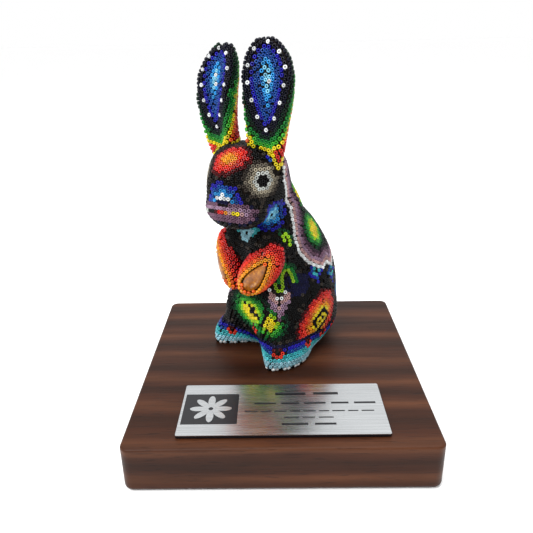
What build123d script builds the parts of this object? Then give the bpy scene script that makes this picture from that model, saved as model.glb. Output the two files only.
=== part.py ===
from build123d import *
import math
import os

import numpy as np

# A sitting rabbit covered in glass seed beads pressed into wax, on a square wooden plinth with a plaque.
# Millimetres, +Z up. The origin is the centre of the plinth's underside.

# Plinth
PLINTH_X = 149.0
PLINTH_Y = 151.0
PLINTH_H = 24.5
PLINTH_CORNER_R = 4.5
PLINTH_TOP_R = 1.2
PLINTH_BOTTOM_R = 3.0

# Plaque, a two-ply engraving sheet on a tape pad
PLAQUE_X = 100.0
PLAQUE_Y = 40.0
PLAQUE_CENTRE = (0.5, -48.2)
TAPE_H = 0.4
TAPE_INSET = 1.5
CORE_PLY_H = 1.2
FACE_PLY_H = 0.3
EMBLEM_X = 27.0
EMBLEM_Y = 24.0
EMBLEM_OFFSET_X = -35.3
EMBLEM_PETALS = 8
# Engraved rows of plain dashes: centre x, centre y, row length, dash height, number of dashes
ENGRAVED_ROWS = (
    (13.3, 11.8, 36.0, 2.2, 2),
    (16.3, 3.9, 62.0, 1.5, 5),
    (13.2, -2.5, 64.0, 0.9, 9),
    (12.6, -7.4, 25.0, 0.9, 3),
    (13.0, -12.3, 29.0, 1.5, 2),
)

# The figure stands on the plinth, in its own axes: +X where its body faces, +Y its left, z = 0 on the plinth
FIGURE_AT = (3.9, 29.1)
FIGURE_HEADING = 224.0
HEAD_TURN = 10.0
BEAD_H = 1.3
WAX_H = 0.9
WAX_LEVEL = BEAD_H
WOOD_LEVEL = BEAD_H + WAX_H
BLEND = 3.2
HEAD_TOP = 121.6
HEAD_CAP_H = 0.8
BEADS_START = 0.8
FOOT_BAND_TOP = 14.0
CHIN_Z = 76.0
CAPE_HEM_Z = 52.0
CAPE_FRONT_X = 3.0
SECTION_POINTS = 44
# Where the sections lie, closer together at the feet, the chin and the crown: from, to, step
SECTION_RUNS = (
    (0.0, 17.0, 1.7),
    (17.0, 71.0, 4.5),
    (71.0, 93.0, 2.0),
    (93.0, 109.0, 4.0),
    (109.0, 120.0, 1.6),
)

# Soft ellipsoids that blend into the figure: centre, half lengths
HEAD_AT = (26.5, 0.0, 101.0)
MUZZLE_REACH = 11.5
TORSO = ((-2.0, 0.0, 34.0), (33.0, 25.0, 41.0))
RUMP = ((-14.0, 0.0, 14.0), (20.5, 21.5, 17.0))
HAUNCH = ((5.5, 13.0, 21.0), (27.0, 16.0, 25.0))
FOOT = ((21.0, 21.0, 4.5), (15.5, 10.5, 11.0))
CHEST = ((5.5, 0.0, 62.0), (25.5, 20.0, 24.0))
SHOULDER = ((20.0, 11.0, 66.0), (14.0, 10.0, 14.0))
NECK = ((9.5, 0.0, 82.0), (15.0, 16.5, 19.0))
HEAD = (HEAD_AT, (23.0, 19.0, 19.0))
CROWN = ((26.5, 0.0, 110.5), (17.0, 19.0, 11.5))
MUZZLE_HALF = (12.5, 18.0, 9.5)
MUZZLE_Z = 89.2
# The middle line that the sections are measured from: height, x
MIDDLE_LINE = ((0.0, 4.0), (30.0, 2.0), (60.0, 8.0), (80.0, 16.0), (90.0, 22.0), (HEAD_TOP, 24.0))

# Ears: height above the root, width, thickness, drift outwards, drift backwards
EAR_ROOT = (29.0, 12.0, 108.0)
EAR_SPLAY = 10.0
EAR_DISH = 2.6
EAR_DISH_FROM = 18.0
EAR_DISH_WIDTH = 22.0
EAR_LIP = 1.8
EAR_STATIONS = (
    (0.0, 17.5, 12.0, -0.5, 0.0),
    (10.0, 19.5, 13.0, 0.6, -0.6),
    (24.0, 22.5, 13.5, 2.4, -1.5),
    (36.0, 26.0, 14.0, 3.2, -1.5),
    (46.0, 27.0, 13.5, 2.8, -0.3),
    (53.0, 25.0, 12.0, 1.8, 1.2),
    (58.0, 20.5, 10.4, 0.8, 2.4),
    (61.5, 14.5, 8.8, 0.0, 3.3),
    (63.3, 9.4, 7.6, -0.4, 3.8),
)
EAR_POINTS = 19
EAR_SPREAD = {"left": 0.0, "right": 3.6}
EAR_SHORTER = {"left": 0.0, "right": 2.2}
EAR_SPREAD_HEIGHT = 26.0
DOWEL_R = 2.0
DOWEL_LENGTH = 24.0
DOWEL_START = 100.0

# Forepaws, ellipsoids that lean together at the chest
PAW_AT = (31.0, 12.4, 56.5)
PAW_HALF = (18.5, 10.0, 8.0)
PAW_LONG = (-0.30, 0.52, 0.80)
PAW_OUTWARD = (0.85, 0.45, 0.10)
PAW_GAP = 0.3

# Countersunk screws up through the plinth
SCREW_X = {"front": 10.0, "rear": -14.0}
SCREW_R = 2.0
SCREW_HEAD_R = 4.0
SCREW_HEAD_H = 2.6
SCREW_LENGTH = 34.0
SCREW_TIP_H = 5.0
SCREW_RECESS = 5.0
COUNTERBORE_R = 4.6
SLOT_W = 1.0
SLOT_DEPTH = 1.1

SIDES = {"left": 1.0, "right": -1.0}
BIG = 400.0


def turned(x, y):
    """A point of the head, turned with it about the middle of the head."""
    angle = math.radians(HEAD_TURN)
    dx = x - HEAD_AT[0]
    return (
        HEAD_AT[0] + math.cos(angle) * dx - math.sin(angle) * y,
        math.sin(angle) * dx + math.cos(angle) * y,
    )


def blobs():
    """Every ellipsoid of the figure, with the paired ones on both sides."""
    muzzle_x, muzzle_y = turned(HEAD_AT[0] + MUZZLE_REACH, 0.0)
    found = [TORSO, RUMP, CHEST, NECK, HEAD, CROWN, ((muzzle_x, muzzle_y, MUZZLE_Z), MUZZLE_HALF)]
    for (x, y, z), half in (HAUNCH, FOOT, SHOULDER):
        found += [((x, y, z), half), ((x, -y, z), half)]
    return found


def depth(points):
    """Rough signed distance from the figure's skin, negative inside, with the ellipsoids blended."""
    total = 0.0
    for centre, half in blobs():
        offset = (points - np.array(centre)) / np.array(half)
        reach = np.linalg.norm(offset, axis=-1)
        slope = np.linalg.norm(offset / np.array(half), axis=-1) + 1e-9
        total = total + np.exp(-np.clip(reach * (reach - 1.0) / slope, -40.0, 60.0) / BLEND)
    return -BLEND * np.log(total)


def section(z, level):
    """The closed outline at height z of the surface that lies level below the bead tips."""
    middle = np.interp(z, [h for h, _ in MIDDLE_LINE], [x for _, x in MIDDLE_LINE])
    angles = np.linspace(0.0, 2.0 * math.pi, SECTION_POINTS, endpoint=False)
    radii = np.linspace(60.0, 1.0, 237)
    x = middle + np.outer(np.cos(angles), radii)
    y = np.outer(np.sin(angles), radii)
    values = depth(np.stack([x, y, np.full_like(x, z)], -1)) + level
    outline = []
    for angle, row in zip(angles, values):
        hit = int(np.argmax(row < 0.0))
        before, after = row[hit - 1], row[hit]
        radius = radii[hit - 1] + (radii[hit] - radii[hit - 1]) * before / (before - after)
        outline.append((middle + radius * math.cos(angle), radius * math.sin(angle), z))
    return outline


def closed_wire(points):
    """A smooth closed curve through the points, evenly spaced in parameter so that sections loft cleanly."""
    parameters = [index / len(points) for index in range(len(points) + 1)]
    curve = Edge.make_spline([Vector(*p) for p in points], periodic=True, parameters=parameters)
    return Wire([curve])


def rimmed_wire(front, back):
    """A closed outline of two smooth curves that share their ends, so that a loft of it has no seam."""
    curves = []
    for points in (front, back):
        parameters = [index / (len(points) - 1) for index in range(len(points))]
        curves.append(Edge.make_spline([Vector(*p) for p in points], parameters=parameters))
    return Wire(curves)


def figure_solid(level):
    """The figure's body and head as one solid, level below the bead tips."""
    heights = [z for start, stop, step in SECTION_RUNS for z in np.arange(start, stop - step / 2.0, step)]
    heights += [HEAD_TOP - HEAD_CAP_H, HEAD_TOP]
    squeeze = (HEAD_TOP - level) / HEAD_TOP
    return Solid.make_loft([closed_wire(section(z * squeeze, level)) for z in heights])


def ear_solid(side, level):
    """One ear: flat dish in front, round behind."""
    rows = np.array(EAR_STATIONS)
    height = rows[-1][0] - EAR_SHORTER[side] - level
    across = np.cos(np.linspace(0.0, math.pi, EAR_POINTS))
    splay = math.radians(EAR_SPLAY)
    wires = []
    for share in np.sin(np.linspace(0.0, math.pi / 2.0, 15)):
        along = share * height
        width, thick, out, back = (np.interp(share * rows[-1][0], rows[:, 0], rows[:, i]) for i in (1, 2, 3, 4))
        out += EAR_SPREAD[side] * math.sin(min(1.0, along / EAR_SPREAD_HEIGHT) * math.pi / 2.0)
        half = width / 2.0 - level
        dish = EAR_DISH * min(1.0, share * rows[-1][0] / EAR_DISH_FROM) * min(1.0, width / EAR_DISH_WIDTH)
        front = (EAR_LIP - 0.5 * level) * np.sqrt(1.0 - across**6) - dish * (1.0 - across**2)
        behind = -(thick - EAR_LIP - 1.5 * level) * (1.0 - np.abs(across) ** 2.5) ** 0.4
        curves = []
        for normals in (front, behind):
            points = []
            for u, n in zip(across * half, normals):
                x = EAR_ROOT[0] - back - u * math.sin(splay) + n * math.cos(splay)
                y = EAR_ROOT[1] + out + u * math.cos(splay) + n * math.sin(splay)
                points.append((*turned(x, SIDES[side] * y), EAR_ROOT[2] + along))
            curves.append(points)
        wires.append(rimmed_wire(*curves))
    return Solid.make_loft(wires)


def paw_solid(side, level):
    """One forepaw, an ellipsoid kept to its own side of the chest."""
    long = Vector(*PAW_LONG).normalized()
    outward = Vector(*PAW_OUTWARD)
    outward = (outward - long * outward.dot(long)).normalized()
    plane = Plane(origin=PAW_AT, x_dir=long, z_dir=outward)
    paw = plane * scale(Sphere(1.0), by=tuple(half - level for half in PAW_HALF))
    keep = Pos(0.0, BIG / 2.0 + PAW_GAP / 2.0 + level, 0.0) * Box(BIG, BIG, BIG)
    paw = paw & keep
    return paw if side == "left" else mirror(paw, about=Plane.XZ)


def block(x_from=-BIG, x_to=BIG, y_from=-BIG, y_to=BIG, z_from=-BIG, z_to=BIG):
    """A box between limits, for keeping a region of a layer."""
    size = (x_to - x_from, y_to - y_from, z_to - z_from)
    middle = ((x_to + x_from) / 2.0, (y_to + y_from) / 2.0, (z_to + z_from) / 2.0)
    return Pos(*middle) * Box(*size)


def dowel(side):
    """The peg that holds an ear to the head."""
    x, y = turned(EAR_ROOT[0] - 3.2, SIDES[side] * (EAR_ROOT[1] + 0.5))
    return Pos(x, y, DOWEL_START) * Cylinder(DOWEL_R, DOWEL_LENGTH, align=(Align.CENTER, Align.CENTER, Align.MIN))


def screw(x):
    """A countersunk wood screw, head down in the plinth, in the figure's axes."""
    head_z = SCREW_RECESS - PLINTH_H
    head = Cone(SCREW_HEAD_R, SCREW_R, SCREW_HEAD_H, align=(Align.CENTER, Align.CENTER, Align.MIN))
    shank_h = SCREW_LENGTH - SCREW_HEAD_H - SCREW_TIP_H
    shank = Pos(0, 0, SCREW_HEAD_H) * Cylinder(SCREW_R, shank_h, align=(Align.CENTER, Align.CENTER, Align.MIN))
    tip = Pos(0, 0, SCREW_LENGTH - SCREW_TIP_H) * Cone(
        SCREW_R, 0.2, SCREW_TIP_H, align=(Align.CENTER, Align.CENTER, Align.MIN)
    )
    slots = Box(SCREW_HEAD_R, SLOT_W, 2 * SLOT_DEPTH) + Box(SLOT_W, SCREW_HEAD_R, 2 * SLOT_DEPTH)
    return Pos(x, 0, head_z) * (head + shank + tip - slots)


def screw_hole(x):
    """The counterbored, countersunk hole that the screw fills, through the plinth and into the wood."""
    bore = Pos(x, 0, -PLINTH_H) * Cylinder(
        COUNTERBORE_R, SCREW_RECESS, align=(Align.CENTER, Align.CENTER, Align.MIN)
    )
    plain = Pos(x, 0, SCREW_RECESS - PLINTH_H) * (
        Cone(SCREW_HEAD_R, SCREW_R, SCREW_HEAD_H, align=(Align.CENTER, Align.CENTER, Align.MIN))
        + Pos(0, 0, SCREW_HEAD_H)
        * Cylinder(SCREW_R, SCREW_LENGTH - SCREW_HEAD_H, align=(Align.CENTER, Align.CENTER, Align.MIN))
    )
    return bore + plain


def placed(shape):
    """Moves a shape from the figure's axes to where the figure stands on the plinth."""
    return Pos(*FIGURE_AT, PLINTH_H) * Rot(0, 0, FIGURE_HEADING) * shape


def figure_parts():
    """The carved wood, wax coats and bead layers, each cut clear of its neighbours."""
    beads, wax, wood = (figure_solid(level) for level in (0.0, WAX_LEVEL, WOOD_LEVEL))
    parts = {}
    ears = {side: [ear_solid(side, level) for level in (0.0, WAX_LEVEL, WOOD_LEVEL)] for side in SIDES}
    paws = {side: [paw_solid(side, level) for level in (0.0, WAX_LEVEL, WOOD_LEVEL)] for side in SIDES}
    core = wood
    coat = wax - wood
    layer = beads - wax - block(z_to=BEADS_START)
    for side in SIDES:
        ear_beads, ear_wax, ear_wood = ears[side]
        paw_beads, paw_wax, paw_wood = paws[side]
        peg = dowel(side)
        parts[f"ear_dowel_{side}"] = peg
        parts[f"ear_core_{side}"] = ear_wood - wood - peg
        parts[f"ear_wax_{side}"] = ear_wax - ear_wood - wax
        parts[f"ear_beads_{side}"] = ear_beads - ear_wax - beads
        parts[f"forepaw_core_{side}"] = paw_wood - wood
        parts[f"forepaw_wax_{side}"] = paw_wax - paw_wood - wax
        parts[f"forepaw_beads_{side}"] = paw_beads - paw_wax - beads
        core -= peg
        coat = coat - ear_wood - paw_wood
        layer = layer - ear_wax - paw_wax
    for x in SCREW_X.values():
        core -= screw_hole(x)
    parts["figure_core"] = core
    parts["figure_wax"] = coat
    cape = block(x_to=CAPE_FRONT_X, z_from=CAPE_HEM_Z)
    torso = layer & block(z_from=FOOT_BAND_TOP, z_to=CHIN_Z)
    parts["foot_band_beads"] = layer & block(z_to=FOOT_BAND_TOP)
    parts["torso_beads_left"] = torso & block(y_from=0.0) - cape
    parts["torso_beads_right"] = torso & block(y_to=0.0) - cape
    parts["cape_beads"] = layer & cape
    parts["head_beads"] = layer & block(z_from=CHIN_Z) - cape
    for name, x in SCREW_X.items():
        parts[f"figure_screw_{name}"] = screw(x)
    return {name: placed(shape) for name, shape in parts.items()}


def plinth():
    """The solid hardwood board, with its two counterbored holes."""
    board = Pos(0, 0, PLINTH_H / 2.0) * Box(PLINTH_X, PLINTH_Y, PLINTH_H)
    board = fillet(board.edges().filter_by(Axis.Z), PLINTH_CORNER_R)
    board = fillet(board.faces().sort_by(Axis.Z)[0].edges(), PLINTH_BOTTOM_R)
    board = fillet(board.faces().sort_by(Axis.Z)[-1].edges(), PLINTH_TOP_R)
    for x in SCREW_X.values():
        board -= placed(screw_hole(x))
    return board


def sheet(x, y, thickness, bottom, corner=0.8):
    """A flat sheet of the plaque, centred on it."""
    outline = RectangleRounded(x, y, corner)
    return Pos(*PLAQUE_CENTRE, bottom) * extrude(outline, amount=thickness)


def emblem_flower():
    """A plain flower that is left standing in the engraved square."""
    petal_reach = 0.25 * EMBLEM_Y
    flower = Circle(0.36 * petal_reach)
    for index in range(EMBLEM_PETALS):
        turn = Rot(0, 0, 360.0 * index / EMBLEM_PETALS)
        flower += turn * Pos(petal_reach, 0) * Ellipse(0.72 * petal_reach, 0.3 * petal_reach)
    return flower - Circle(0.2 * petal_reach)


def engraving():
    """What is engraved through the silver ply: a square round the flower, and rows of plain dashes."""
    cut = Pos(EMBLEM_OFFSET_X, 0) * (Rectangle(EMBLEM_X, EMBLEM_Y) - emblem_flower())
    for x, y, length, height, count in ENGRAVED_ROWS:
        pitch = length / count
        for index in range(count):
            dash = pitch * (0.86 - 0.16 * (index % 2))
            centre = x - length / 2.0 + pitch * (index + 0.5)
            cut += Pos(centre, y) * Rectangle(dash, height)
    return cut


def plaque_parts():
    """The tape pad, the black core ply and the engraved silver face ply."""
    core_z = PLINTH_H + TAPE_H
    face_z = core_z + CORE_PLY_H
    face = sheet(PLAQUE_X, PLAQUE_Y, FACE_PLY_H, face_z)
    face -= Pos(*PLAQUE_CENTRE, face_z - 1.0) * extrude(engraving(), amount=FACE_PLY_H + 2.0)
    return {
        "plaque_tape": sheet(PLAQUE_X - 2 * TAPE_INSET, PLAQUE_Y - 2 * TAPE_INSET, TAPE_H, PLINTH_H),
        "plaque_core": sheet(PLAQUE_X, PLAQUE_Y, CORE_PLY_H, core_z),
        "plaque_face": face,
    }


def main():
    os.makedirs("parts", exist_ok=True)
    parts = {"plinth_board": plinth(), **plaque_parts(), **figure_parts()}
    for name, shape in parts.items():
        export_step(shape, f"parts/{name}.step")
        print(name, len(shape.solids()), "solid", round(shape.volume), "mm3")


main()
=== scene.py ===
import math
import random
from collections import deque

import bpy
import numpy as np
from mathutils import Matrix, Vector
from mathutils.bvhtree import BVHTree
from mathutils.kdtree import KDTree


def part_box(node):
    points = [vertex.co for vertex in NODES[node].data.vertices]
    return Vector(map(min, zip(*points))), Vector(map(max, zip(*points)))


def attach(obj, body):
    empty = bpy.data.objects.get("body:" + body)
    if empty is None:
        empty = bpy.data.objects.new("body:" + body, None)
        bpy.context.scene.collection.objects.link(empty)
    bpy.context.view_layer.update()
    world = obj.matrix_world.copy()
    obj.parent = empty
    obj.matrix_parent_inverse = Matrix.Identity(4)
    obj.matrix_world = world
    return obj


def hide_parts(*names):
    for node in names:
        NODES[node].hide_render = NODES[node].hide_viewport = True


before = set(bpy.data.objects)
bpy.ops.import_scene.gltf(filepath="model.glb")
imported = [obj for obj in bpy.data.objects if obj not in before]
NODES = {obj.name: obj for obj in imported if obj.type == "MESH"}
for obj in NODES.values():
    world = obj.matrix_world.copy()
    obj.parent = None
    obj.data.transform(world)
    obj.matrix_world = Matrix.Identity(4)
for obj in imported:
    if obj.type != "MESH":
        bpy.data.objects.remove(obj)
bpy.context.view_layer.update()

# A sitting rabbit covered in glass seed beads pressed into wax, on a wooden plinth with a plaque.
# The figure's own axes are in millimetres: +X where its body faces, +Y its left, and z = 0 where it
# stands. A place on its body is an azimuth, in degrees from its front towards its left, and a height,
# and the skin gives the rest. Everything else is in metres.

MM = 0.001
SEED = 7
random.seed(SEED)

# Seed beads
PITCH = 2.12 * MM
BEAD_R = 1.03 * MM
HOLE_R = 0.43 * MM
BEAD_H = 1.3 * MM
BEAD_SUNK = 0.15 * MM
BEAD_SIDES = 12
BEAD_PROFILE = 6
BEAD_TILT = 0.07
BEAD_SIZES = (0.96, 1.02)
BEAD_SINK = 0.08
WAX_H = 0.9 * MM
SHADES = (0.5, 0.62, 0.74)
SPECKLED = 0.12

# How beads are set: the least distance between two, in pitches, at first, along a row and when filling
# gaps, the distance they settle to, and the room left over another part's wood
TIGHT = 0.87
ROW_TIGHT = 0.8
SETTLED = 1.02
CLEAR = 0.9 * MM
FIRM_ROWS = ("ear_left", "ear_right", "cape", "mouth", "paw_left", "paw_right")

# How the skin is found: outer faces look this much the same way as the wood, a walk looks a share of the
# wax under its point and ends at a fold sharper than this, and a line starts this many millimetres out
SAME_WAY = 0.2
LOOK_UNDER = 0.15
FOLD = -0.25
WALK_STEPS = 6
NEAR = 4.0 * MM
OUTSIDE = 90.0

# Where the front screw stands on the figure's middle line, which leans with its body
SCREW_FRONT_X = 10.0
MIDDLE_LINE = ((0.0, 4.0), (30.0, 2.0), (60.0, 8.0), (80.0, 16.0), (90.0, 22.0), (121.6, 24.0))
HEAD_TURN = 10.0
CHIN_Z = 76.0
CAPE_HEM_Z = 52.0
CAPE_FRONT_X = 3.0

# Bands of the feet
BAND_START_Z = 1.15
BAND_ROWS = 8
BAND_COLOURS = ("white", "ice", "ice", "aqua", "turquoise", "steel", "cobalt", "navy")
BAND_ROSETTES = ((-26, 11), (14, 18), (44, 10)) + tuple((degrees, 10) for degrees in range(73, 320, 31))

# Ears
EAR_FACING = {"left": 18.0, "right": 2.0}
EAR_RING_HALF_H = {"left": 19.8, "right": 18.8}
EAR_RING_HALF_W = 10.4
EAR_RING_BELOW_TIP = {"left": 1.0, "right": 1.1}
EAR_RING_BEADS = 48
EAR_WHITE_EVERY = 4
EAR_ROW_STEP = 1.65
EAR_ROW_STEP_FALL = 0.2
EAR_DARK_TIP = 0.12
EAR_RING_TAPER = (0.52, 0.019, 1.08)
EAR_EDGE_H = 2.6 * MM
EAR_EDGE_FROM = 2.5
EAR_INSIDE = ("cobalt", "steel", "steel", "sky", "pale", "white")
EAR_OUTSIDE = ("night", "pine", "forest", "green", "grass", "lime", "yellow", "orange", "scarlet", "red")

# Forepaws
PAW_FACING = (0.70, 0.62, 0.15)
PAW_LONG = (-0.30, 0.52, 0.80)
PAD_DOWN = 3.0
PAD_HALF = (10.4, 4.1)
PAD_TAPER = 0.35
PAD_DEPTH = 6.0
PAD_EDGE = 1.1
PAD_H = 0.9
PAD_RINGS = 7
PAD_SIDES = 40
PAW_COLOURS = ("amber", "orange", "scarlet", "red", "red", "maroon")

PALETTE = {
    "black": "#060607", "night": "#0a0b1e", "char": "#37302a", "navy": "#0d0f38", "cobalt": "#1410a6",
    "steel": "#0d4596", "sky": "#1f97e0", "pale": "#83d3f2", "ice": "#a4dcec", "white": "#f2f5f6",
    "aqua": "#56ccd6", "turquoise": "#34b4bc", "teal": "#0a4c44", "pine": "#062718", "forest": "#084526",
    "green": "#0e7a2c", "grass": "#3aa826", "lime": "#a0d60c", "yellow": "#f0d806", "amber": "#f8a008",
    "orange": "#f4620a", "scarlet": "#ec2f0c", "red": "#cc100a", "maroon": "#4c080c", "plum": "#3e2a3c",
    "mauve": "#745268", "lilac": "#a0809a", "pink": "#c79a98", "taupe": "#6d6558", "bone": "#a89e88",
    "silver": "#ccd0ca",
}


# ---------------------------------------------------------------- the figure's axes and skins

def node_middle(node):
    low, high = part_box(node)
    return (low + high) / 2.0


def figure_axes():
    """The matrix from the figure's own axes, in millimetres, to the frame."""
    front, rear = node_middle("figure_screw_front"), node_middle("figure_screw_rear")
    ahead = front - rear
    ahead.z = 0.0
    ahead.normalize()
    foot = front - ahead * SCREW_FRONT_X * MM
    foot.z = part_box("plinth_board")[1].z
    left = Vector((-ahead.y, ahead.x, 0.0))
    turn = Matrix((ahead, left, Vector((0.0, 0.0, 1.0)))).transposed().to_4x4()
    return Matrix.Translation(foot) @ turn @ Matrix.Scale(MM, 4)


FIGURE = figure_axes()
FIGURE_BACK = FIGURE.inverted()
DEPSGRAPH = bpy.context.evaluated_depsgraph_get()


def place_at(x, y, z):
    return FIGURE @ Vector((x, y, z))


def way_of(x, y, z):
    return (FIGURE.to_3x3() @ Vector((x, y, z))).normalized()


def middle_x(z):
    return float(np.interp(z, [h for h, _ in MIDDLE_LINE], [x for _, x in MIDDLE_LINE]))


def azimuth(local):
    """Degrees about the figure's middle line, from its front towards its left, 0 to 360."""
    return math.degrees(math.atan2(local.y, local.x - middle_x(local.z))) % 360.0


def spin(way, normal, degrees):
    angle = math.radians(degrees)
    return way * math.cos(angle) + normal.cross(way) * math.sin(angle)


class Skin:
    """The outside of one wax coat, with the carved wood under it."""

    def __init__(self, coat, wood):
        self.wood = BVHTree.FromObject(NODES[wood], DEPSGRAPH)
        self.surface = self.outside_of(NODES[coat].data)
        self.low, self.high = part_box(coat)

    def outside_of(self, coat):
        """The coat's outer faces, which look the same way as the wood under them."""
        outer = []
        for face in coat.polygons:
            _, out, _, _ = self.wood.find_nearest(face.center)
            if face.normal.dot(out) > SAME_WAY:
                outer.append(tuple(face.vertices))
        return BVHTree.FromPolygons([corner.co for corner in coat.vertices], outer)

    def land(self, point, normal):
        """The place on the skin beside a point, and the way out of it, or None past the skin's edge.

        It looks from just under the point, so that a walk goes on round a sharp rim."""
        place, face, _, _ = self.surface.find_nearest(point - normal * LOOK_UNDER * WAX_H)
        return (place, face) if face.dot(normal) > FOLD else None

    def walk(self, place, normal, way, distance):
        """Goes a distance along the skin and returns the place, the way out and the way ahead, or None."""
        for _ in range(WALK_STEPS):
            landed = self.land(place + way * distance / WALK_STEPS, normal)
            if landed is None:
                return None
            place, face = landed
            way = normal.rotation_difference(face) @ way
            normal = face
            way = (way - normal * way.dot(normal)).normalized()
        return place, normal, way

    def shoot(self, start, way):
        """Where a line from outside the figure meets the skin."""
        place, face, _, _ = self.surface.ray_cast(start, way)
        return place, face

    def near(self, point):
        return all(self.low[i] - NEAR < point[i] < self.high[i] + NEAR for i in range(3))

    def above_wood(self, point):
        """How far a point lies outside the carved wood, negative inside it."""
        place, face, _, _ = self.wood.find_nearest(point)
        offset = point - place
        return math.copysign(offset.length, offset.dot(face))


SKINS = {"figure": Skin("figure_wax", "figure_core")}
for side in ("left", "right"):
    SKINS[f"ear_{side}"] = Skin(f"ear_wax_{side}", f"ear_core_{side}")
    SKINS[f"paw_{side}"] = Skin(f"forepaw_wax_{side}", f"forepaw_core_{side}")


def buried(skin_name, point):
    """Whether a bead there would run into another part of the figure."""
    for name, skin in SKINS.items():
        if name != skin_name and skin.near(point) and skin.above_wood(point) < WAX_H + CLEAR:
            return True
    return False


def on_figure(degrees, z):
    """The place on the body at an azimuth and a height, seen from the middle line."""
    angle = math.radians(degrees)
    inside = place_at(middle_x(z), 0.0, z)
    way = way_of(math.cos(angle), math.sin(angle), 0.0)
    return SKINS["figure"].shoot(inside + way * OUTSIDE * MM, -way)


def flank(degrees, side, plane=0.0):
    """An azimuth of the left side, or the same one mirrored to the right about the plane at an azimuth."""
    return degrees if side == "left" else 2.0 * plane - degrees


# ---------------------------------------------------------------- setting the beads

class Beads:
    """Every bead set so far, and a grid of cells that finds neighbours quickly."""

    def __init__(self):
        self.places, self.normals, self.ways, self.skins, self.tags = [], [], [], [], []
        self.cells = {}

    def cell(self, point):
        return tuple(int(math.floor(c / PITCH)) for c in point)

    def clear_of(self, point, reach):
        """Whether no bead lies nearer to a point than reach."""
        x, y, z = self.cell(point)
        limit = reach * reach
        for i in (x - 1, x, x + 1):
            for j in (y - 1, y, y + 1):
                for k in (z - 1, z, z + 1):
                    for index in self.cells.get((i, j, k), ()):
                        if (self.places[index] - point).length_squared < limit:
                            return False
        return True

    def add(self, skin_name, place, normal, way, tag):
        index = len(self.places)
        self.places.append(place)
        self.normals.append(normal)
        self.ways.append((way - normal * way.dot(normal)).normalized())
        self.skins.append(skin_name)
        self.tags.append(tag)
        self.cells.setdefault(self.cell(place), []).append(index)
        return index

    def offer(self, skin_name, place, normal, way, tag, tight=TIGHT):
        """Sets a bead if there is room for it, and returns its index or None."""
        if not self.clear_of(place, tight * PITCH) or buried(skin_name, place) or on_pad(skin_name, place):
            return None
        return self.add(skin_name, place, normal, way, tag)


BEADS = Beads()


def grow(seeds, turns=range(0, 360, 60), rows=None, tight=TIGHT):
    """Sets beads outwards from the seeds, each new one nested against an earlier one.

    A bead's tag is (pattern, row, share), and a new bead lies one row further out than its parent."""
    queue = deque(seeds)
    added = []
    while queue:
        index = queue.popleft()
        pattern, row, share = BEADS.tags[index]
        if rows is not None and abs(row) >= rows:
            continue
        for degrees in turns:
            way = spin(BEADS.ways[index], BEADS.normals[index], degrees)
            if not BEADS.clear_of(BEADS.places[index] + way * PITCH, 0.5 * PITCH):
                continue
            skin = SKINS[BEADS.skins[index]]
            landed = skin.walk(BEADS.places[index], BEADS.normals[index], way, PITCH)
            if landed is None:
                continue
            place, normal, ahead = landed
            sign = math.copysign(1, row) if row else (1 if 0 < degrees < 180 else -1)
            tag = (pattern, int(row + sign), share)
            new = BEADS.offer(BEADS.skins[index], place, normal, spin(ahead, normal, -degrees), tag, tight)
            if new is not None:
                queue.append(new)
                added.append(new)
    return added


def settle(rounds):
    """Evens out the gaps: beads that stand too close push each other apart. Firm rows move less."""
    for _ in range(rounds):
        tree = KDTree(len(BEADS.places))
        for index, place in enumerate(BEADS.places):
            tree.insert(place, index)
        tree.balance()
        for index, place in enumerate(BEADS.places):
            push = Vector((0.0, 0.0, 0.0))
            for other, other_index, distance in tree.find_range(place, PITCH * SETTLED):
                if other_index != index and distance > 1e-7:
                    push += (place - other) * (PITCH * SETTLED - distance) / distance
            pattern, row, _ = BEADS.tags[index]
            push *= 0.15 if row == 0 and pattern in FIRM_ROWS else 0.45
            if push.length > 0.2 * PITCH:
                push *= 0.2 * PITCH / push.length
            landed = SKINS[BEADS.skins[index]].land(place + push, BEADS.normals[index])
            if landed is not None:
                BEADS.places[index], BEADS.normals[index] = landed
    BEADS.cells = {}
    for index, place in enumerate(BEADS.places):
        BEADS.cells.setdefault(BEADS.cell(place), []).append(index)


def evenly(points, count=None, closed=False, phase=0.0):
    """Points spaced evenly along a polyline, one pitch apart or a given number of them, with their ways."""
    points = list(points) + ([points[0]] if closed else [])
    lengths = np.array([0.0] + [(b - a).length for a, b in zip(points, points[1:])]).cumsum()
    count = count or max(2, round(lengths[-1] / PITCH) + (0 if closed else 1))
    stops = (np.arange(count) + phase) * lengths[-1] / (count if closed else count - 1)
    columns = np.array(points)
    spots = np.stack([np.interp(stops, lengths, columns[:, i]) for i in range(3)], -1)
    aheads = np.stack([np.interp(stops + PITCH / 4, lengths, columns[:, i]) for i in range(3)], -1)
    return [(Vector(a), Vector(b - a) if (b - a).any() else Vector(columns[-1] - columns[-2]))
            for a, b in zip(spots, aheads)]


def seed_row(skin_name, line, pattern, closed=False, count=None, zigzag=0.0):
    """Sets a row of beads along a line on a skin. Its tags hold each bead's number in the row."""
    skin = SKINS[skin_name]
    seeds = []
    for number, (spot, way) in enumerate(evenly(line, count, closed)):
        place, face, _, _ = skin.surface.find_nearest(spot)
        way = (way - face * way.dot(face)).normalized()
        if zigzag:
            place, face, way = skin.walk(place, face, spin(way, face, 90.0 if number % 2 else -90.0), zigzag)
            way = spin(way, face, -90.0 if number % 2 else 90.0)
        seed = BEADS.offer(skin_name, place, face, way, (pattern, 0, number), ROW_TIGHT)
        if seed is not None:
            seeds.append(seed)
    return seeds


# ---------------------------------------------------------------- rows that come first

def ear_ways(side):
    """The way that an ear's dish faces and the way across it."""
    facing = math.radians(EAR_FACING[side])
    return way_of(math.cos(facing), math.sin(facing), 0.0), way_of(-math.sin(facing), math.cos(facing), 0.0)


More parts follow.
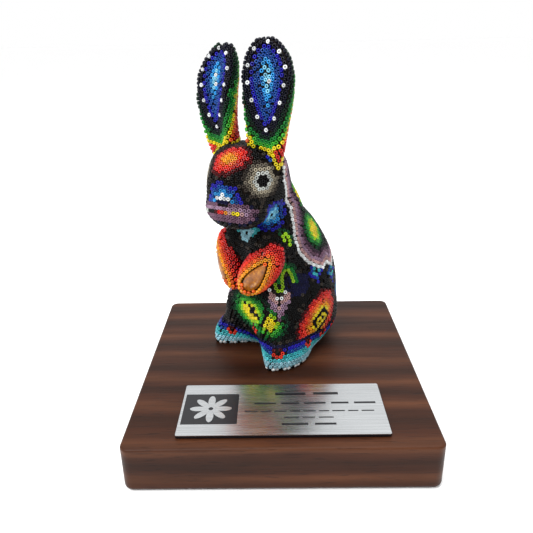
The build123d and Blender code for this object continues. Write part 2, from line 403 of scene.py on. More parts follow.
def ear_ring_line(side):
    """The egg-shaped ring in an ear's dish, round above and pointed below."""
    skin = SKINS[f"ear_{side}"]
    out, across = ear_ways(side)
    low, high = skin.low, skin.high
    corners = np.array([v.co for v in NODES[f"ear_wax_{side}"].data.vertices])
    spread = corners @ np.array(across)
    heights = np.arange(low.z, high.z, 2.0 * MM)
    middles = []
    for z in heights:
        here = spread[np.abs(corners[:, 2] - z) < 1.2 * MM]
        middles.append((here.min() + here.max()) / 2.0)
    top = high.z - EAR_RING_BELOW_TIP[side] * MM
    half = EAR_RING_HALF_H[side]
    point, grows, widest = EAR_RING_TAPER
    depth = np.array(out) @ ((np.array(low) + np.array(high)) / 2.0)
    line = []
    for turn in np.linspace(0.0, 2.0 * math.pi, 96, endpoint=False):
        up = half * (1.0 - math.cos(turn))
        narrow = min(widest, point + grows * up)
        z = top - (2.0 * half - up) * MM
        middle = np.interp(z, heights, middles)
        wide = middle - EAR_RING_HALF_W * narrow * math.sin(turn) * MM
        start = across * wide + out * (depth + 40.0 * MM) + Vector((0.0, 0.0, z))
        place, _ = skin.shoot(start, -out)
        if place is not None:
            line.append(place)
    return line


def pad_frame(side):
    """The middle of a forepaw's smooth pad, and its ways out, along and across."""
    mirror = 1.0 if side == "left" else -1.0
    skin = SKINS[f"paw_{side}"]
    long = way_of(PAW_LONG[0], mirror * PAW_LONG[1], PAW_LONG[2])
    facing = way_of(PAW_FACING[0], mirror * PAW_FACING[1], PAW_FACING[2])
    facing = (facing - long * facing.dot(long)).normalized()
    centre = node_middle(f"forepaw_core_{side}") - long * PAD_DOWN * MM
    place, normal = skin.shoot(centre + facing * 40.0 * MM, -facing)
    along = (long - normal * long.dot(normal)).normalized()
    return place, normal, along, normal.cross(along)


PAD_FRAMES = {f"paw_{side}": pad_frame(side) for side in ("left", "right")}


def pad_place(side, share, turn, lift=0.0):
    """A place on a forepaw at a share of the pad's outline, which is pointed above and round below."""
    place, normal, along, across = PAD_FRAMES[f"paw_{side}"]
    up = PAD_HALF[0] * math.cos(turn)
    wide = PAD_HALF[1] * math.sin(turn) * (1.0 - PAD_TAPER * math.cos(turn))
    spot = place + (along * up + across * wide) * share * MM
    landed, face = SKINS[f"paw_{side}"].shoot(spot + normal * 20.0 * MM, -normal)
    return landed + face * lift


def on_pad(skin_name, place):
    """Whether a place lies within the smooth pad of a forepaw."""
    if skin_name not in PAD_FRAMES:
        return False
    centre, normal, along, across = PAD_FRAMES[skin_name]
    offset = (place - centre) / MM
    up, wide = offset.dot(along), offset.dot(across)
    narrow = PAD_HALF[1] * (1.0 - PAD_TAPER * min(1.0, max(-1.0, up / PAD_HALF[0])))
    return offset.dot(normal) > -PAD_DEPTH and math.hypot(up / PAD_HALF[0], wide / narrow) < 1.0


def seed_all():
    """The rows that come first: the feet's band, the ears' rings and the forepaws' outlines."""
    bottom = [on_figure(a, BAND_START_Z)[0] for a in range(0, 360, 2)]
    grow(seed_row("figure", bottom, "band", closed=True), rows=BAND_ROWS - 1)
    for side in ("left", "right"):
        grow(seed_row(f"ear_{side}", ear_ring_line(side), f"ear_{side}", closed=True, count=EAR_RING_BEADS))
        share = 1.0 + PAD_EDGE / PAD_HALF[1]
        outline = [pad_place(side, share, t) for t in np.linspace(0, 2 * math.pi, 80, False)]
        grow(seed_row(f"paw_{side}", outline, f"paw_{side}", closed=True), turns=(240, 300, 0, 180))


# ---------------------------------------------------------------- patterns of the body

class Motif:
    """Rings of colour about one place on the body: (share of its size, colour) from the middle out."""

    def __init__(self, place, half, rings, tilt=0.0, shape="oval", keep=None, flip=False, seed=True):
        self.centre, self.normal = on_figure(*place)
        up = Vector((0.0, 0.0, 1.0))
        self.up = (up - self.normal * up.dot(self.normal)).normalized()
        self.right = self.up.cross(self.normal)
        self.half, self.rings, self.tilt, self.shape = half, rings, math.radians(tilt), shape
        self.keep, self.flip, self.seed = keep, flip, seed

    def map(self, place):
        """A place as millimetres right and up from the middle of the motif, measured along the skin."""
        offset = (place - self.centre) / MM
        u, v = offset.dot(self.right), offset.dot(self.up)
        flat = math.hypot(u, v)
        if flat > 1e-6:
            u, v = u * offset.length / flat, v * offset.length / flat
        return (-u if self.flip else u), v

    def colour(self, place, normal):
        if normal.dot(self.normal) < -0.1:
            return None
        u, v = self.map(place)
        if math.hypot(u, v) > 1.5 * max(self.half):
            return None
        a = u * math.cos(self.tilt) + v * math.sin(self.tilt)
        b = -u * math.sin(self.tilt) + v * math.cos(self.tilt)
        if self.keep is not None and not self.keep(u, v):
            return None
        if self.shape == "oval":
            share = math.hypot(a / self.half[0], b / self.half[1])
        else:
            share = abs(a) / self.half[0] + abs(b) / self.half[1]
        for limit, name in self.rings:
            if share < limit:
                return name
        return None


class Stroke:
    """A line of beads along a few places on the body."""

    def __init__(self, places, colour, width=1.05, side="left"):
        self.points = [on_figure(flank(degrees, side), z)[0] for degrees, z in places]
        self.name, self.width = colour, width * MM

    def colour(self, place, normal):
        for a, b in zip(self.points, self.points[1:]):
            along = b - a
            share = min(1.0, max(0.0, (place - a).dot(along) / along.length_squared))
            if (place - a - along * share).length < self.width:
                return self.name
        return None


SUN = ((0.36, "amber"), (0.5, "orange"), (0.62, "scarlet"), (0.86, "red"), (1.06, "maroon"))
EYE = ((0.48, "silver"), (0.7, "bone"), (0.88, "taupe"), (1.04, "char"))
EGG = ((0.2, "black"), (0.42, "pale"), (0.62, "sky"), (0.82, "steel"), (1.02, "cobalt"))
LEAF = ((0.38, "yellow"), (0.52, "lime"), (0.66, "grass"), (0.82, "green"), (0.94, "forest"), (1.08, "pine"))
ROSETTE = ((0.25, "black"), (0.55, "turquoise"), (0.82, "steel"), (1.05, "cobalt"))
FIRE = (
    (0.42, "yellow"), (0.55, "amber"), (0.68, "orange"), (0.8, "scarlet"), (0.93, "red"), (1.06, "maroon"),
)
TAIL = (
    (0.18, "black"), (0.36, "turquoise"), (0.5, "white"), (0.68, "pink"), (0.84, "lilac"), (1.02, "mauve"),
)
FAN = ((0.16, "black"), (0.5, "ice"), (0.84, "turquoise"), (1.0, "teal"))
NOSE = ((0.16, "black"), (0.4, "white"), (0.6, "sky"), (0.8, "steel"), (1.0, "cobalt"))


def bow(middle, reach, rise):
    """Places along half an oval, as azimuths and heights: over the top, or below for a negative rise."""
    turns = np.linspace(0.0, math.pi, 7)
    return [(middle[0] + reach * math.cos(t), middle[1] + rise * math.sin(t)) for t in turns]


# Single rows of beads that draw a shape on each flank: its places, closed or open, and its colour
HOOK = bow((58, 47), 8, 8) + bow((45, 46), 5, -4)
CURL = bow((73, 72), -5, 3) + [(74, 69)]
SYMBOL = [(82, 22), (99, 27), (110, 21), (90, 15)]
FLANK_ROWS = ((HOOK, False, "lime"), (CURL, False, "lime"), (SYMBOL, True, "black"))


def head_motifs(side):
    """The eye, the cheek and the little rosette under the ear."""
    flip = side == "right"

    def at(degrees, z):
        return flank(degrees, side, plane=HEAD_TURN), z

    return [
        Motif(at(60, 106), (2.6, 2.6), ((1.0, "black"),), seed=False),
        Motif(at(60, 106), (9.8, 9.6), EYE, flip=flip),
        Motif(at(72, 86), (9.4, 9.0), EGG, tilt=76.0, flip=flip),
        Motif(at(80, 112), (6.0, 5.4), ROSETTE, flip=flip),
    ]


def side_motifs(side):
    """What both flanks carry: the haunch flower, hooks, leaves, chevrons and rosettes under the cape."""
    flip = side == "right"

    def at(degrees, z):
        return flank(degrees, side), z

    return [
        Motif(at(96, 21), (1.3, 1.3), ((1.0, "black"),), flip=flip, seed=False),
        Motif(at(93, 22), (19.0, 13.0), FIRE, tilt=34.0, flip=flip),
        Stroke(bow((58, 47), 11, 11), "green", 1.2, side),
        Stroke(bow((58, 47), 14, 13), "forest", 1.2, side),
        Stroke(bow((74, 71), 8, 6), "forest", 1.2, side),
        Chevrons(side),
        Motif(at(107, 49), (6.2, 5.6), ROSETTE, tilt=90.0, shape="diamond", flip=flip),
        Motif(at(135, 44), (6.6, 5.0), ROSETTE, tilt=90.0, shape="diamond", flip=flip),
        Motif(at(139, 71), (12.0, 10.0), LEAF, tilt=100.0, flip=flip),
        Motif(at(153, 92), (9.4, 6.4), LEAF, tilt=100.0, flip=flip),
        Motif(at(69, 45), (9.0, 7.0), ((1.0, "navy"),), flip=flip, seed=False),
    ]


class Chevrons:
    """A diamond of nested V rows under a white V edge."""

    COLOURS = ("white", "pink", "pink", "lilac", "lilac", "mauve", "mauve", "plum")

    def __init__(self, side):
        self.motif = Motif((flank(43, side), 38), (8.0, 12.0), (), flip=side == "right")
        self.seed = False

    def colour(self, place, normal):
        if normal.dot(self.motif.normal) < 0.2:
            return None
        u, v = self.motif.map(place)
        edge = 5.6 * min(1.0, (v + 11.5) / 9.0)
        below = 1.15 * abs(u) - v
        if below < -1.2 or abs(u) > edge or v > 5.6:
            return None
        return self.COLOURS[min(len(self.COLOURS) - 1, int((below + 1.2) / 2.2))]


def front_motifs():
    """The forehead, nose, throat and belly."""
    return [
        Motif((11, 116), (11.0, 8.2), SUN, tilt=24.0),
        Motif((11, 96), (9.8, 9.8), NOSE, keep=lambda u, v: v > -1.0),
        Motif((4, 74), (12.0, 9.0), FAN, keep=lambda u, v: v > abs(u) - 6.5),
        Stroke(((27, 34), (27, 28), (25, 23)), "black", 1.1),
        Stroke(((-3, 33), (10, 29), (22, 26)), "black", 0.8),
        Motif((8, 27), (1.1, 1.1), ((1.0, "black"),), seed=False),
        Motif((14, 31), (1.1, 1.1), ((1.0, "black"),), seed=False),
        Motif((31, 27), (1.1, 1.1), ((1.0, "black"),), seed=False),
        Motif((7, 28), (16.5, 11.5), LEAF, tilt=-18.0, keep=lambda u, v: u < 9.8),
        Motif((32, 25), (10.0, 10.0), LEAF, tilt=-40.0, keep=lambda u, v: u > -3.4, seed=False),
        Motif((-27, 41), (3.6, 3.6), ((0.35, "black"), (1.0, "turquoise"))),
    ]


def back_motifs():
    """The middle of the back, from the neck to the tail."""
    return [
        Motif((180, 66), (7.6, 6.6), EGG, tilt=90.0),
        Motif((180, 92), (8.6, 6.4), SUN, tilt=90.0),
        Motif((180, 27), (12.5, 12.5), TAIL),
        Motif((144, 30), (5.2, 5.2), ROSETTE),
        Motif((216, 30), (5.2, 5.2), ROSETTE),
    ]


# The cape's edge, azimuth and height, down the left side and round under the back to the right side
CAPE_SIDE = ((106, 112), (101, 105), (114, 96), (121, 88), (105, 80), (89, 72), (86, 63), (97, 56), (110, 52))
CAPE_HEM_TURNS = ((121, 49), (131, 51), (141, 47), (154, 51), (167, 47), (180, 51))
CAPE_COLOURS = ((1.15, "white"), (3.0, "pink"), (5.2, "lilac"), (7.2, "mauve"), (9.0, "plum"))


def cape_corners():
    """The cape's outline: the left side, the hem and the right side, which is the left one mirrored."""
    half = CAPE_SIDE + CAPE_HEM_TURNS
    lean = [(2.0 * HEAD_TURN if z > 85.0 else 0.0) for _, z in half]
    return list(half) + [(360.0 - a + shift, z) for (a, z), shift in list(zip(half, lean))[-2::-1]]


def cape_line():
    corners = cape_corners()
    line = []
    for (a0, z0), (a1, z1) in zip(corners, corners[1:]):
        line += [on_figure(a0 + (a1 - a0) * s, z0 + (z1 - z0) * s)[0] for s in np.linspace(0, 1, 7)[:-1]]
    return line + [on_figure(*corners[-1])[0]]


CAPE_OUTLINE = cape_corners() + [(260.0, 140.0), (100.0, 140.0)]


def in_cape(local):
    """Whether a place of the body lies behind the cape's edge."""
    turn, inside = azimuth(local), False
    for (a0, z0), (a1, z1) in zip(CAPE_OUTLINE, CAPE_OUTLINE[1:] + CAPE_OUTLINE[:1]):
        if (z0 > local.z) != (z1 > local.z) and turn < a0 + (local.z - z0) * (a1 - a0) / (z1 - z0):
            inside = not inside
    return inside


# The mouth: a row across the muzzle, with rows of lips above and below
MOUTH_FROM, MOUTH_TO, MOUTH_MIDDLE = -26.0, 50.0, 20.0
MOUTH_Z = 91.0
MOUTH_DROOP = 1.6
MOUTH_HALF_TURN = 35.0
MOUTH_REACH = 8.0
LIP_ROW = 1.9
LIP_ROWS_ABOVE, LIP_ROWS_BELOW, NAVY_ROWS = 2.4, 2.0, 2.9
MOUTH_COLOURS = ("plum", "silver", "silver", "black", "black", "maroon", "red", "scarlet", "amber", "pink",
                 "yellow", "pink", "lilac", "mauve", "plum")
LIPS = ("lilac", "mauve")


def mouth_line():
    return [on_figure(a, MOUTH_Z - MOUTH_DROOP * ((a - MOUTH_MIDDLE) / MOUTH_HALF_TURN) ** 2)[0]
            for a in np.linspace(MOUTH_FROM, MOUTH_TO, 40)]


class Nearest:
    """Distances to a line on the skin."""

    def __init__(self, line):
        self.tree = KDTree(4 * len(line))
        count = 0
        for a, b in zip(line, line[1:]):
            for share in (0.0, 0.25, 0.5, 0.75):
                self.tree.insert(a.lerp(b, share), count)
                count += 1
        self.tree.balance()
        self.count = count

    def find(self, place):
        """Millimetres to the line, how far along it, 0 to 1, and how far above it."""
        spot, index, distance = self.tree.find(place)
        return distance / MM, index / self.count, (place - spot).z / MM


def set_beads():
    """Sets every bead of the figure and returns the body's motifs."""
    seed_all()
    motifs = []
    for side in ("left", "right"):
        motifs += head_motifs(side) + side_motifs(side)
    motifs += front_motifs() + back_motifs()
    seeds = seed_row("figure", mouth_line(), "mouth")
    for side in ("left", "right"):
        for places, closed, colour in FLANK_ROWS:
            line = [on_figure(flank(degrees, side), z)[0] for degrees, z in places]
            seeds += seed_row("figure", line, colour, closed=closed)
    seeds += seed_row("figure", cape_line(), "cape", zigzag=0.25 * MM)
    for motif in motifs:
        if isinstance(motif, Motif) and motif.seed:
            way = spin(motif.right, motif.normal, -math.degrees(motif.tilt))
            seed = BEADS.offer("figure", motif.centre, motif.normal, way, ("motif", 0, 0))
            if seed is not None:
                seeds.append(seed)
    band_top = [i for i, tag in enumerate(BEADS.tags) if tag[0] == "band" and tag[1] == BAND_ROWS - 1]
    grow(seeds + band_top)
    settle(6)
    grow(list(range(len(BEADS.places))), turns=range(0, 360, 30), tight=ROW_TIGHT)
    settle(5)
    return motifs


MOTIFS = set_beads()
CAPE_EDGE = Nearest(cape_line())
MOUTH = Nearest(mouth_line())


# ---------------------------------------------------------------- the colour of each bead

def band_colour(row, number, place):
    """The feet's band: a row of white pairs, then pale blue, turquoise and cobalt rows."""
    if row == 0 and number % 3 == 2:
        return "black"
    return BAND_COLOURS[min(abs(row), BAND_ROWS - 1)]


def ear_colour(side, row, number, place, normal):
    """An ear: blues inside the dotted ring, greens to red outside it, and dark green over the tip."""
    if row == 0:
        return "white" if number % EAR_WHITE_EVERY == 0 else "night"
    if row < 0:
        facing = normal.dot(ear_ways(side)[0]) > 0.1
        return EAR_INSIDE[min(-row, len(EAR_INSIDE)) - 1] if facing else "forest"
    skin = SKINS[f"ear_{side}"]
    rise = (place.z - skin.low.z) / (skin.high.z - skin.low.z)
    depth = (row - 1) * (EAR_ROW_STEP - EAR_ROW_STEP_FALL * rise) * min(1.0, (1.02 - rise) / EAR_DARK_TIP)
    body = SKINS["figure"]
    if body.near(place) and body.above_wood(place) < WAX_H + EAR_EDGE_H and depth > EAR_EDGE_FROM:
        return "yellow"
    return EAR_OUTSIDE[min(len(EAR_OUTSIDE) - 1, int(depth))]


def mouth_colour(place):
    """The lips, or None away from them."""
    distance, along, above = MOUTH.find(place)
    if not 0.01 < along < 0.99 or distance > MOUTH_REACH:
        return None
    rows = distance / LIP_ROW / min(1.0, 0.3 + 4.0 * min(along, 1.0 - along))
    if rows < 0.5:
        return MOUTH_COLOURS[min(len(MOUTH_COLOURS) - 1, int(along * len(MOUTH_COLOURS)))]
    if rows < 1.5:
        return LIPS[0] if above > 0 else LIPS[1]
    if rows < (LIP_ROWS_ABOVE if above > 0 else LIP_ROWS_BELOW):
        return LIPS[1]
    return "navy" if rows < NAVY_ROWS else None


def cape_colour(local, place):
    """The cape: a white edge, pink and mauve rows, then black."""
    distance, _, _ = CAPE_EDGE.find(place)
    if distance < CAPE_COLOURS[0][0]:
        return "white"
    if not in_cape(local):
        return None
    for limit, name in CAPE_COLOURS:
        if distance < limit:
            return name
    return None


def body_colour(place, normal):
    local = FIGURE_BACK @ place
    name = mouth_colour(place) if local.z > 70.0 else None
    if name is None and local.z > 40.0:
        name = cape_colour(local, place)
    if name is not None:
        return name
    cape = local.z > 45.0 and in_cape(local)
    for motif in MOTIFS:
        name = motif.colour(place, normal)
        if name is not None:
            return name
    if cape:
        return "black"
    return "char" if random.random() < SPECKLED else "black"


def bead_colours():
    """The colour name of every bead."""
    names = []
    for skin_name, tag, place, normal in zip(BEADS.skins, BEADS.tags, BEADS.places, BEADS.normals):
        pattern, row, number = tag
        if skin_name.startswith("ear"):
            names.append(ear_colour(skin_name[4:], row, number, place, normal))
        elif skin_name.startswith("paw"):
            names.append(PAW_COLOURS[min(abs(row), len(PAW_COLOURS) - 1)])
        elif pattern in PALETTE and row == 0:
            names.append(pattern)
        elif pattern == "band" and abs(row) < BAND_ROWS:
            names.append(band_colour(row, number, place))
        else:
            names.append(body_colour(place, normal))
    for degrees, z in BAND_ROSETTES:
        colour_rosette(names, on_figure(degrees, z)[0])
    return names


def colour_rosette(names, spot):
    """One small flower in the feet's band: a black bead with red ones round it."""
    middle = min(range(len(names)), key=lambda i: (BEADS.places[i] - spot).length_squared)
    centre = BEADS.places[middle]
    for index, place in enumerate(BEADS.places):
        if (place - centre).length < 1.45 * PITCH and BEADS.skins[index] == "figure":
            names[index] = "maroon" if place.z > centre.z + 0.7 * MM else "scarlet"
    names[middle] = "black"


# ---------------------------------------------------------------- materials

def linear(hex_colour, shade=1.0):
    channels = [int(hex_colour[i : i + 2], 16) / 255.0 for i in (1, 3, 5)]
    lit = [c / 12.92 if c <= 0.04045 else ((c + 0.055) / 1.055) ** 2.4 for c in channels]
    return (*[min(1.0, c * shade) for c in lit], 1.0)


def new_material(name):
    material = bpy.data.materials.new(name)
    material.use_nodes = True
    tree = material.node_tree
    return material, tree, tree.nodes["Principled BSDF"]


def glass(name, shade_index):
    """Glossy coloured seed-bead glass."""
    material, _, shader = new_material(f"glass_{name}_{shade_index}")
    colour = linear(PALETTE[name], SHADES[shade_index])
    shader.inputs["Base Color"].default_value = colour
    shader.inputs["Roughness"].default_value = 0.2
    shader.inputs["Specular IOR Level"].default_value = 0.16 + 0.3 * min(1.0, 2.0 * max(colour[:3]))
    return material


def link(tree, start, end):
    tree.links.new(start, end)


def stretched(tree, scale, rotation=(0.0, 0.0, 0.0)):
    """Object coordinates, scaled along each axis."""
    coordinates = tree.nodes.new("ShaderNodeTexCoord")
    mapping = tree.nodes.new("ShaderNodeMapping")
    mapping.inputs["Scale"].default_value = scale
    mapping.inputs["Rotation"].default_value = rotation
    link(tree, coordinates.outputs["Object"], mapping.inputs["Vector"])
    return mapping.outputs["Vector"]


def noise(tree, vector, scale, detail=6.0, roughness=0.55, distortion=0.0):
    node = tree.nodes.new("ShaderNodeTexNoise")
    node.inputs["Scale"].default_value = scale
    node.inputs["Detail"].default_value = detail
    node.inputs["Roughness"].default_value = roughness
    node.inputs["Distortion"].default_value = distortion
    link(tree, vector, node.inputs["Vector"])
    return node.outputs["Fac"]


def ramp(tree, factor, stops):
    node = tree.nodes.new("ShaderNodeValToRGB")
    while len(node.color_ramp.elements) < len(stops):
        node.color_ramp.elements.new(0.5)
    for element, (position, colour) in zip(node.color_ramp.elements, stops):
        element.position = position
        element.color = colour
    link(tree, factor, node.inputs["Fac"])
    return node.outputs["Color"]


def two_tone(tree, factor, dark, light):
    """A ramp from a dark colour to a light one over the middle of a noise."""
    return ramp(tree, factor, ((0.3, linear(dark)), (0.7, linear(light))))


def grey(value):
    return (value, value, value, 1.0)


def mixed(tree, kind, amount, first, second):
    node = tree.nodes.new("ShaderNodeMix")
    node.data_type = "RGBA"
    node.blend_type = kind
    node.inputs["Factor"].default_value = amount
    link(tree, first, node.inputs["A"])
    link(tree, second, node.inputs["B"])
    return node.outputs["Result"]


def bump(tree, shader, height, strength, distance):
    node = tree.nodes.new("ShaderNodeBump")
    node.inputs["Strength"].default_value = strength
    node.inputs["Distance"].default_value = distance
    link(tree, height, node.inputs["Height"])
    link(tree, node.outputs["Normal"], shader.inputs["Normal"])


def walnut():
    """Dark oiled hardwood, grain along X, with growth bands, fine streaks and short dark pores."""
    material, tree, shader = new_material("plinth_walnut")
    bands = tree.nodes.new("ShaderNodeTexWave")
    bands.wave_type = "BANDS"
    bands.bands_direction = "Y"
    bands.inputs["Scale"].default_value = 1.0
    bands.inputs["Distortion"].default_value = 5.0
    bands.inputs["Detail"].default_value = 4.0
    bands.inputs["Detail Scale"].default_value = 1.3
    link(tree, stretched(tree, (2.5, 21.0, 26.0), (0.9, 0.0, 0.03)), bands.inputs["Vector"])
    growth = ramp(tree, bands.outputs["Fac"], (
        (0.0, linear("#30170a")), (0.5, linear("#3e1f10")),
        (0.85, linear("#482716")), (1.0, linear("#54301c")),
    ))
    streaks = ramp(tree, noise(tree, stretched(tree, (14.0, 260.0, 260.0)), 1.0, 8.0, 0.6),
                   ((0.3, grey(0.55)), (0.7, grey(1.0))))
    clouds = ramp(tree, noise(tree, stretched(tree, (9.0, 22.0, 22.0)), 1.0, 4.0),
                  ((0.3, grey(0.6)), (0.7, grey(1.05))))
    pores = ramp(tree, noise(tree, stretched(tree, (90.0, 1500.0, 1500.0)), 1.0, 2.0),
                 ((0.33, grey(0.35)), (0.42, grey(1.0))))
    colour = mixed(tree, "MULTIPLY", 0.85, growth, streaks)
    colour = mixed(tree, "MULTIPLY", 0.7, colour, clouds)
    colour = mixed(tree, "MULTIPLY", 0.55, colour, pores)
    link(tree, colour, shader.inputs["Base Color"])
    link(tree, ramp(tree, streaks, ((0.5, grey(0.5)), (1.0, grey(0.38)))), shader.inputs["Roughness"])
    shader.inputs["Specular IOR Level"].default_value = 0.14
    bump(tree, shader, pores, 0.25, 0.0002)
    return material


def wax_with_painted_gap_shade():
    """Soft beeswax with a faint grain: its own dark tone, deepened to near-black as painted shade for the
    gaps between beads and inside their holes.
    """
    material, tree, shader = new_material("wax_with_painted_gap_shade")
    grain = noise(tree, stretched(tree, (700.0, 700.0, 700.0)), 1.0, 3.0)
    # These near-black browns are partly the wax's own dark tone and partly painted shade for the gaps between
    # beads and the bead holes.
    link(tree, two_tone(tree, grain, "#0a0706", "#1a120c"), shader.inputs["Base Color"])
    shader.inputs["Roughness"].default_value = 0.7
    shader.inputs["Specular IOR Level"].default_value = 0.08
    bump(tree, shader, grain, 0.4, 0.0002)
    return material


def carved_wood():
    """Pale unfinished carving wood."""
    material, tree, shader = new_material("carved_wood")
    grain = noise(tree, stretched(tree, (300.0, 300.0, 30.0)), 1.0, 6.0)
    link(tree, two_tone(tree, grain, "#a9814f", "#c9a878"), shader.inputs["Base Color"])
    shader.inputs["Roughness"].default_value = 0.7
    return material


def brushed_silver():
    """Bright brushed metal foil, the brush marks along X."""
    material, tree, shader = new_material("plaque_silver")
    marks = noise(tree, stretched(tree, (30.0, 5200.0, 5200.0)), 1.0, 3.0)
    link(tree, two_tone(tree, marks, "#b9bcbe", "#d9dcde"), shader.inputs["Base Color"])
    link(tree, ramp(tree, marks, ((0.3, grey(0.2)), (0.7, grey(0.3)))), shader.inputs["Roughness"])
    shader.inputs["Metallic"].default_value = 1.0
    bump(tree, shader, marks, 0.12, 0.00004)
    return material


def plastic(name, hex_colour, roughness):
    """Moulded sheet plastic with a faint surface grain."""
    material, tree, shader = new_material(name)
    grain = noise(tree, stretched(tree, (900.0, 900.0, 900.0)), 1.0, 2.0)
    colour = ramp(tree, grain, ((0.3, linear(hex_colour, 0.9)), (0.7, linear(hex_colour, 1.1))))
    link(tree, colour, shader.inputs["Base Color"])
    shader.inputs["Roughness"].default_value = roughness
    return material


def amber_resin():
    """The glossy brown pads of the forepaws."""
    material, tree, shader = new_material("amber_resin")
    cloud = noise(tree, stretched(tree, (420.0, 420.0, 420.0)), 1.0, 5.0, 0.6, 0.4)
    colour = ramp(tree, cloud, (
        (0.3, linear("#5c2f05")), (0.55, linear("#8f5209")), (0.75, linear("#c4892c")),
    ))
    link(tree, colour, shader.inputs["Base Color"])
    shader.inputs["Roughness"].default_value = 0.28
    bump(tree, shader, cloud, 0.2, 0.0003)
    return material


def screw_steel():
    material, tree, shader = new_material("screw_steel")
    marks = noise(tree, stretched(tree, (900.0, 900.0, 200.0)), 1.0, 3.0)
    link(tree, two_tone(tree, marks, "#8d8c88", "#b2b1ac"), shader.inputs["Base Color"])
    shader.inputs["Metallic"].default_value = 1.0
    shader.inputs["Roughness"].default_value = 0.35
    return material


def dress(node, material):
    """Gives a CAD node its material."""
    slots = NODES[node].data.materials
    slots.clear()
    slots.append(material)


# ---------------------------------------------------------------- bead meshes

def bead_profile():
    """One bead's corners and faces: a short tube with a round outside, upright, its top at BEAD_H."""
    corners, faces = [], []
    ring_r, thick = (BEAD_R + HOLE_R) / 2.0, (BEAD_R - HOLE_R) / 2.0
    half = (BEAD_H + BEAD_SUNK) / 2.0
    for side in range(BEAD_SIDES):
        turn = 2.0 * math.pi * side / BEAD_SIDES
        for step in range(BEAD_PROFILE):
            bend = 2.0 * math.pi * (step + 0.5) / BEAD_PROFILE
            reach = ring_r + thick * math.cos(bend) / math.cos(math.pi / BEAD_PROFILE)
            rise = BEAD_H - half + half * math.sin(bend)
            corners.append((reach * math.cos(turn), reach * math.sin(turn), rise))
            across, along = (side + 1) % BEAD_SIDES, (step + 1) % BEAD_PROFILE
            faces.append((side * BEAD_PROFILE + step, across * BEAD_PROFILE + step,
                          across * BEAD_PROFILE + along, side * BEAD_PROFILE + along))
    return np.array(corners), np.array(faces)


def smooth_normals():
    """Each bead's way out, evened over its neighbours on the same skin."""
    tree = KDTree(len(BEADS.places))
    for index, place in enumerate(BEADS.places):
        tree.insert(place, index)
    tree.balance()
    evened = []
    for index, place in enumerate(BEADS.places):
        total = BEADS.normals[index].copy()
        for _, other, _ in tree.find_range(place, 1.3 * PITCH):
            if BEADS.skins[other] == BEADS.skins[index]:
                total += BEADS.normals[other]
        evened.append(total.normalized())
    return evened


def bead_piece(name, members, colours, normals, replaced):
    """One mesh of many beads, with a material for each colour and shade in it."""
    corners, faces = bead_profile()
    used = sorted({colours[i] for i in members})
    mesh = bpy.data.meshes.new(name)
    for colour in used:
        for shade in range(len(SHADES)):
            mesh.materials.append(GLASS[colour, shade])
    all_corners, all_faces, all_materials = [], [], []
    for number, index in enumerate(members):
        out = (normals[index] + Vector([random.gauss(0.0, BEAD_TILT) for _ in range(3)])).normalized()
        side = out.orthogonal().normalized()
        turn = np.array((side, out.cross(side), out)).T
        size = random.uniform(*BEAD_SIZES)
        spot = np.array(BEADS.places[index] + out * random.uniform(-BEAD_SINK, 0.0) * MM)
        all_corners.append(corners * size @ turn.T + spot)
        all_faces.append(faces + number * len(corners))
        material = used.index(colours[index]) * len(SHADES) + random.randrange(len(SHADES))
        all_materials.append(np.full(len(faces), material))
    quads = np.concatenate(all_faces)
    points = np.concatenate(all_corners)
    mesh.vertices.add(len(points))
    mesh.vertices.foreach_set("co", points.ravel().astype(np.float32))
    mesh.loops.add(quads.size)
    mesh.loops.foreach_set("vertex_index", quads.ravel().astype(np.int32))
    mesh.polygons.add(len(quads))
    mesh.polygons.foreach_set("loop_start", (4 * np.arange(len(quads))).astype(np.int32))
    mesh.polygons.foreach_set("material_index", np.concatenate(all_materials).astype(np.int32))
    mesh.update(calc_edges=True)
    mesh.shade_smooth()
    piece = bpy.data.objects.new(name, mesh)
    bpy.context.scene.collection.objects.link(piece)
    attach(piece, "root")
    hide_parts(replaced)


def layer_of(index):
    """The piece that a bead belongs to: its name, the record's slot and the CAD node that it replaces."""
    skin_name, (pattern, row, _) = BEADS.skins[index], BEADS.tags[index]
    if skin_name.startswith("ear"):
        return f"ear_glass_{skin_name[4:]}", "ear_glass", f"ear_beads_{skin_name[4:]}"
    if skin_name.startswith("paw"):
        return f"forepaw_glass_{skin_name[4:]}", "forepaw_glass", f"forepaw_beads_{skin_name[4:]}"
    local = FIGURE_BACK @ BEADS.places[index]
    side = "left" if local.y > 0.0 else "right"
    if pattern == "band" and abs(row) < BAND_ROWS:
        return "foot_band_glass", "foot_band_glass", "foot_band_beads"
    if local.x < CAPE_FRONT_X and local.z > CAPE_HEM_Z:
        return "cape_glass", "cape_glass", "cape_beads"
    if local.z > CHIN_Z:
        return f"head_glass_{side}", "head_glass", "head_beads"
    return f"torso_glass_{side}", "body_glass", f"torso_beads_{side}"


def bead_layers():
    colours, normals = bead_colours(), smooth_normals()
    layers = {}
    for index in range(len(BEADS.places)):
        layers.setdefault(layer_of(index), []).append(index)
    for (name, slot, replaced), members in sorted(layers.items()):
        bead_piece(name, members, colours, normals, replaced)


GLASS = {(name, shade): glass(name, shade) for name in PALETTE for shade in range(len(SHADES))}
bead_layers()


# ---------------------------------------------------------------- the forepaws' pads

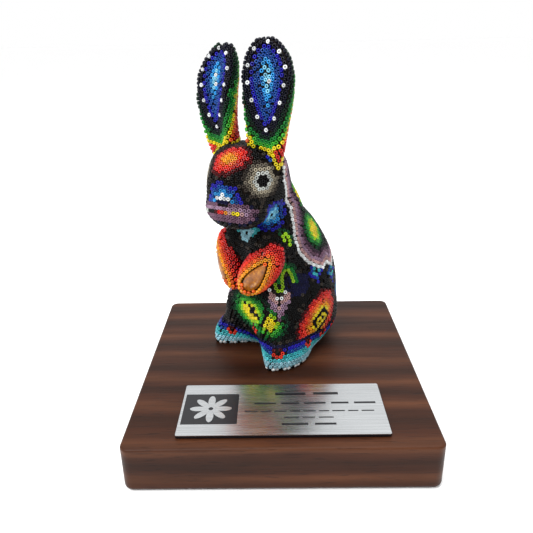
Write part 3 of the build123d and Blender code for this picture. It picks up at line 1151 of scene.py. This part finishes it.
def paw_pad(side, material):
    """A low smooth dome of resin inside the beads' outline, closed underneath."""
    corners = [pad_place(side, 0.0, 0.0, PAD_H * MM)]
    for ring in range(1, PAD_RINGS + 1):
        share = ring / PAD_RINGS
        lift = PAD_H * MM * math.sqrt(max(0.0, 1.0 - share**4))
        corners += [pad_place(side, share, 2.0 * math.pi * i / PAD_SIDES, lift) for i in range(PAD_SIDES)]
    corners.append(pad_place(side, 0.0, 0.0, -0.3 * MM))
    last = len(corners) - 1
    faces = []
    for i in range(PAD_SIDES):
        j = (i + 1) % PAD_SIDES
        faces.append((0, 1 + i, 1 + j))
        for ring in range(PAD_RINGS - 1):
            start, end = 1 + ring * PAD_SIDES, 1 + (ring + 1) * PAD_SIDES
            faces.append((start + i, end + i, end + j, start + j))
        start = 1 + (PAD_RINGS - 1) * PAD_SIDES
        faces.append((start + i, last, start + j))
    mesh = bpy.data.meshes.new(f"forepaw_pad_{side}")
    mesh.from_pydata(corners, [], faces)
    mesh.materials.append(material)
    mesh.shade_smooth()
    piece = bpy.data.objects.new(f"forepaw_pad_{side}", mesh)
    bpy.context.scene.collection.objects.link(piece)
    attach(piece, "root")
    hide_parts(f"forepaw_beads_{side}")


RESIN = amber_resin()
for side in ("left", "right"):
    paw_pad(side, RESIN)

# ---------------------------------------------------------------- the CAD nodes' materials

GAP_SHADE_WAX, WOOD, STEEL = wax_with_painted_gap_shade(), carved_wood(), screw_steel()
dress("plinth_board", walnut())
dress("plaque_tape", plastic("white_tape", "#c9c9c4", 0.7))
dress("plaque_core", plastic("black_ply", "#0a0a10", 0.3))
dress("plaque_face", brushed_silver())
dress("figure_wax", GAP_SHADE_WAX)
dress("figure_core", WOOD)
for side in ("left", "right"):
    for part in ("ear", "forepaw"):
        dress(f"{part}_wax_{side}", GAP_SHADE_WAX)
        dress(f"{part}_core_{side}", WOOD)
    dress(f"ear_dowel_{side}", WOOD)
for end in ("front", "rear"):
    dress(f"figure_screw_{end}", STEEL)


# ---------------------------------------------------------------- floor, light and camera

def studio_floor():
    mesh = bpy.data.meshes.new("studio_floor")
    reach = 40.0
    mesh.from_pydata([(-reach, -reach, 0), (reach, -reach, 0), (reach, reach, 0), (-reach, reach, 0)], [],
                     [(0, 1, 2, 3)])
    material, _, shader = new_material("studio_white")
    shader.inputs["Base Color"].default_value = grey(1.0)
    shader.inputs["Roughness"].default_value = 0.8
    mesh.materials.append(material)
    floor = bpy.data.objects.new("studio_floor", mesh)
    bpy.context.scene.collection.objects.link(floor)


def softbox(name, place, aim, size, power):
    light = bpy.data.lights.new(name, "AREA")
    light.shape = "RECTANGLE"
    light.size, light.size_y = size
    light.energy = power
    lamp = bpy.data.objects.new(name, light)
    lamp.location = place
    lamp.rotation_euler = (Vector(aim) - Vector(place)).to_track_quat("-Z", "Y").to_euler()
    bpy.context.scene.collection.objects.link(lamp)


def white_world():
    world = bpy.data.worlds.new("studio")
    world.use_nodes = True
    world.node_tree.nodes["Background"].inputs["Color"].default_value = grey(1.0)
    world.node_tree.nodes["Background"].inputs["Strength"].default_value = 1.0
    bpy.context.scene.world = world


def studio_camera():
    """The viewing angle: about 22 degrees down on the plinth from in front."""
    data = bpy.data.cameras.new("camera")
    data.lens = 37.257
    data.sensor_width = 36.0
    camera = bpy.data.objects.new("camera", data)
    heading, tilt, roll = math.radians(0.94), math.radians(67.64), math.radians(-1.17)
    turn = Matrix.Rotation(heading, 4, "Z") @ Matrix.Rotation(tilt, 4, "X") @ Matrix.Rotation(roll, 4, "Z")
    camera.matrix_world = Matrix.Translation((-0.0022, -0.2732, 0.1945)) @ turn
    bpy.context.scene.collection.objects.link(camera)
    bpy.context.scene.camera = camera


studio_floor()
white_world()
softbox("key_light", (-0.4, -0.5, 0.8), (0.0, 0.0, 0.08), (0.45, 0.35), 8.0)
softbox("top_light", (0.1, 0.15, 0.9), (0.0, 0.0, 0.1), (0.5, 0.4), 4.0)
studio_camera()
bpy.context.scene.view_settings.view_transform = "Standard"
